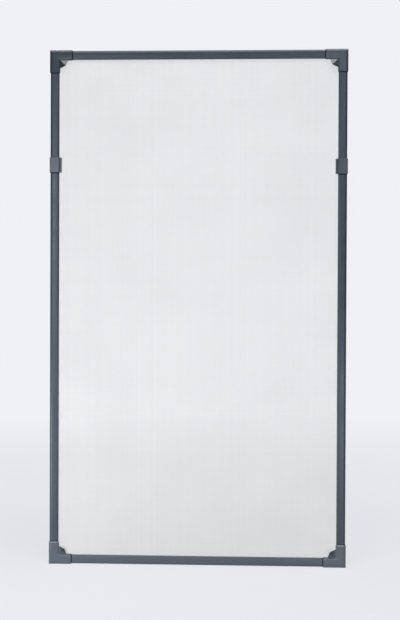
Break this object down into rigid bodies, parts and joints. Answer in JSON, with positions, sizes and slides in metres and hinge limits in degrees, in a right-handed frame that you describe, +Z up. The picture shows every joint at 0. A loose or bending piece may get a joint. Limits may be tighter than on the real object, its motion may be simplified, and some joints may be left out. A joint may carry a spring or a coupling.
{
  "type": "magnetic window screen",
  "caption": "Tall insect screen for a window: open cloth on a frame of hollow plastic rails with corner pieces, finger scoops and joiners, held by flexible magnet strips.",
  "frame": {"origin": "centre of the whole screen: half way across, half way up and half way from the window face to the tips of the scoops", "axes": "+X to the right seen from the room, +Y to the window that the screen is held on, +Z up; the front faces -Y"},
  "size_m": [0.75, 0.0145, 1.3],
  "materials": {
    "rail_plastic": "extruded anthracite plastic, satin, with a fine grain along its length",
    "moulded_plastic": "moulded anthracite plastic, fine spark texture",
    "magnet_rubber": "flexible magnet, dark brown-black rubber with a dull surface",
    "counter_tape": "flexible magnetic tape, dull dark grey",
    "adhesive": "tacky film of acrylic adhesive, milky",
    "cloth": "coated thread, pale grey, woven open"
  },
  "bodies": {
    "root": {"bottom_rail": "rail_plastic", "top_rail": "rail_plastic", "left_upper_rail": "rail_plastic", "left_lower_rail": "rail_plastic", "right_upper_rail": "rail_plastic", "right_lower_rail": "rail_plastic", "bottom_left_corner": "moulded_plastic", "bottom_right_corner": "moulded_plastic", "top_right_corner": "moulded_plastic", "top_left_corner": "moulded_plastic", "left_joiner": "moulded_plastic", "right_joiner": "moulded_plastic", "bottom_magnet_strip": "magnet_rubber", "top_magnet_strip": "magnet_rubber", "left_upper_magnet_strip": "magnet_rubber", "left_lower_magnet_strip": "magnet_rubber", "right_upper_magnet_strip": "magnet_rubber", "right_lower_magnet_strip": "magnet_rubber", "bottom_tape": "counter_tape", "top_tape": "counter_tape", "left_tape": "counter_tape", "right_tape": "counter_tape", "bottom_tape_adhesive": "adhesive", "top_tape_adhesive": "adhesive", "left_tape_adhesive": "adhesive", "right_tape_adhesive": "adhesive", "screen_cloth": "cloth"}
  },
  "joints": []
}
